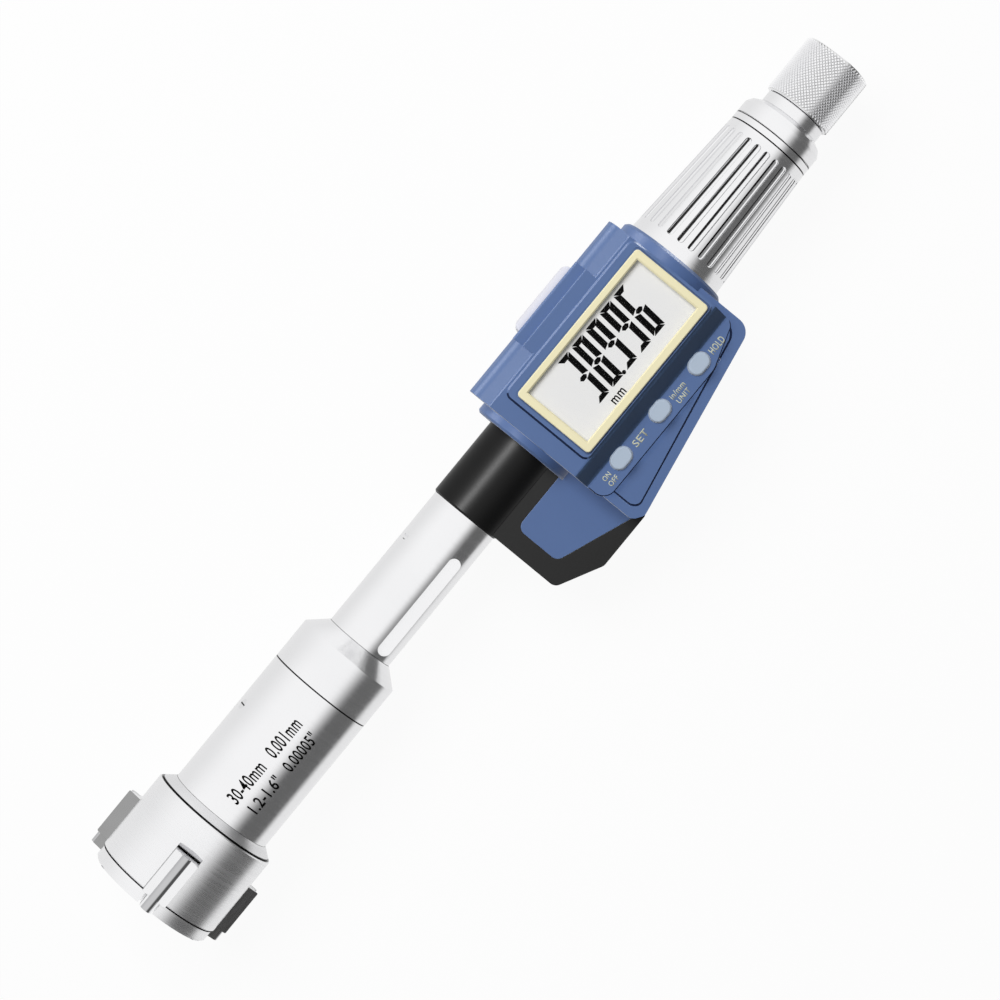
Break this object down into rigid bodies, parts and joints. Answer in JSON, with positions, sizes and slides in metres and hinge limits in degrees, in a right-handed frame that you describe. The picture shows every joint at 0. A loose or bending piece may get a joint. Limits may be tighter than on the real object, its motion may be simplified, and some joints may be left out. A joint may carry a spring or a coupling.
{
  "type": "inside micrometer",
  "caption": "Inside micrometer: slotted head with radial anvils on a cone, stepped tube, side display box with buttons, and a fluted thimble with a ratchet knob on one long axis.",
  "frame": {"origin": "on the tool's axis at the front face of the measuring head, which enters the bore", "axes": "+X along the tool from the head to the ratchet knob, +Z out of the display, +Y away from the buttons"},
  "size_m": [0.2277, 0.0471, 0.0342],
  "materials": {
    "polished_steel": "ground and polished steel with a satin sheen",
    "ring_steel": "fine turned steel, polished",
    "anvil_steel": "ground hardened steel",
    "carbide": "lapped tungsten carbide",
    "inner_steel": "ground steel",
    "screw_steel": "plain steel screw",
    "spring_steel": "spring wire",
    "black_plastic": "satin black moulded plastic",
    "blue_plastic": "satin blue moulded plastic",
    "cream_plastic": "printed cream frame",
    "clear_window": "clear display window",
    "lcd": "pale grey liquid crystal panel",
    "board": "green circuit board",
    "button_plastic": "pale grey-blue moulded button",
    "dome_rubber": "moulded rubber",
    "port_plastic": "near-white moulded cap",
    "contact_brass": "gilt contacts in a block",
    "cell_steel": "button cell case"
  },
  "bodies": {
    "root": {"adjusting_nut": "inner_steel", "back_cover": "blue_plastic", "battery": "cell_steel", "body_set_screw": "screw_steel", "body_sleeve": "polished_steel", "display_bezel": "cream_plastic", "display_board": "board", "display_window": "clear_window", "encoder_stator": "board", "end_cap": "ring_steel", "end_cap_screws": "screw_steel", "frame_cover": "black_plastic", "front_cover": "blue_plastic", "guide_sleeve": "inner_steel", "head_body": "ring_steel", "housing_screws": "screw_steel", "key_board": "board", "key_domes": "dome_rubber", "lcd_panel": "lcd", "main_housing": "blue_plastic", "neck_guide_screw": "screw_steel", "neck_tube": "polished_steel", "port_contacts": "contact_brass", "return_spring": "spring_steel", "shoulder_collar": "polished_steel", "side_inlay": "blue_plastic"},
    "push_rod": {"push_rod": "inner_steel", "measuring_cone": "inner_steel", "thrust_ball": "inner_steel"},
    "thimble": {"thimble": "polished_steel", "spindle": "inner_steel", "thimble_cap": "polished_steel", "ratchet_stem": "inner_steel", "ratchet_end_screw": "screw_steel"},
    "ratchet_knob": {"ratchet_knob": "polished_steel", "ratchet_spring": "spring_steel"},
    "encoder_rotor": {"encoder_rotor": "board"},
    "anvil_1": {"anvil_1": "anvil_steel", "carbide_rod_1": "carbide"},
    "anvil_2": {"anvil_2": "anvil_steel", "carbide_rod_2": "carbide"},
    "anvil_3": {"anvil_3": "anvil_steel", "carbide_rod_3": "carbide"},
    "power_button": {"power_button": "button_plastic"},
    "units_button": {"units_button": "button_plastic"},
    "hold_button": {"hold_button": "button_plastic"},
    "battery_lid": {"battery_lid": "black_plastic"},
    "port_cover": {"port_cover": "port_plastic"}
  },
  "joints": [
    {"name": "push_rod_slide", "type": "slide", "parent": "root", "child": "push_rod", "axis": [-1, 0, 0], "range_m": [-0.009, 0.001], "deforming": ["return_spring"]},
    {"name": "thimble_turn", "type": "hinge", "parent": "push_rod", "child": "thimble", "pos_m": [0.18, 0, 0], "axis": [-1, 0, 0], "range_deg": [-6477.12, 722.88]},
    {"name": "ratchet_turn", "type": "hinge", "parent": "thimble", "child": "ratchet_knob", "pos_m": [0.218, 0, 0], "axis": [-1, 0, 0], "continuous": true},
    {"name": "encoder_turn", "type": "hinge", "parent": "root", "child": "encoder_rotor", "pos_m": [0.1392, 0, 0], "axis": [-1, 0, 0], "range_deg": [-6477.12, 722.88]},
    {"name": "anvil_1_slide", "type": "slide", "parent": "root", "child": "anvil_1", "axis": [0, -0.0471, 0.9989], "range_m": [-0.0045, 0.0005]},
    {"name": "anvil_2_slide", "type": "slide", "parent": "root", "child": "anvil_2", "axis": [0, -0.8415, -0.5402], "range_m": [-0.0045, 0.0005]},
    {"name": "anvil_3_slide", "type": "slide", "parent": "root", "child": "anvil_3", "axis": [0, 0.8886, -0.4586], "range_m": [-0.0045, 0.0005]},
    {"name": "power_button_press", "type": "slide", "parent": "root", "child": "power_button", "axis": [0, 0, -1], "range_m": [0, 0.0005], "stiffness_N_per_m": 600},
    {"name": "units_button_press", "type": "slide", "parent": "root", "child": "units_button", "axis": [0, 0, -1], "range_m": [0, 0.0005], "stiffness_N_per_m": 600},
    {"name": "hold_button_press", "type": "slide", "parent": "root", "child": "hold_button", "axis": [0, 0, -1], "range_m": [0, 0.0005], "stiffness_N_per_m": 600},
    {"name": "battery_lid_turn", "type": "hinge", "parent": "root", "child": "battery_lid", "pos_m": [0.1385, -0.019, -0.0133], "axis": [0, 0, -1], "range_deg": [0, 60]},
    {"name": "port_cover_pull", "type": "slide", "parent": "root", "child": "port_cover", "axis": [0, 1, 0], "range_m": [0, 0.004]}
  ],
  "couplings": [
    {"joint": "thimble_turn", "follows": "push_rod_slide", "rad_per_m": 12566},
    {"joint": "encoder_turn", "follows": "push_rod_slide", "rad_per_m": 12566},
    {"joint": "anvil_1_slide", "follows": "push_rod_slide", "ratio": 0.5},
    {"joint": "anvil_2_slide", "follows": "push_rod_slide", "ratio": 0.5},
    {"joint": "anvil_3_slide", "follows": "push_rod_slide", "ratio": 0.5}
  ]
}
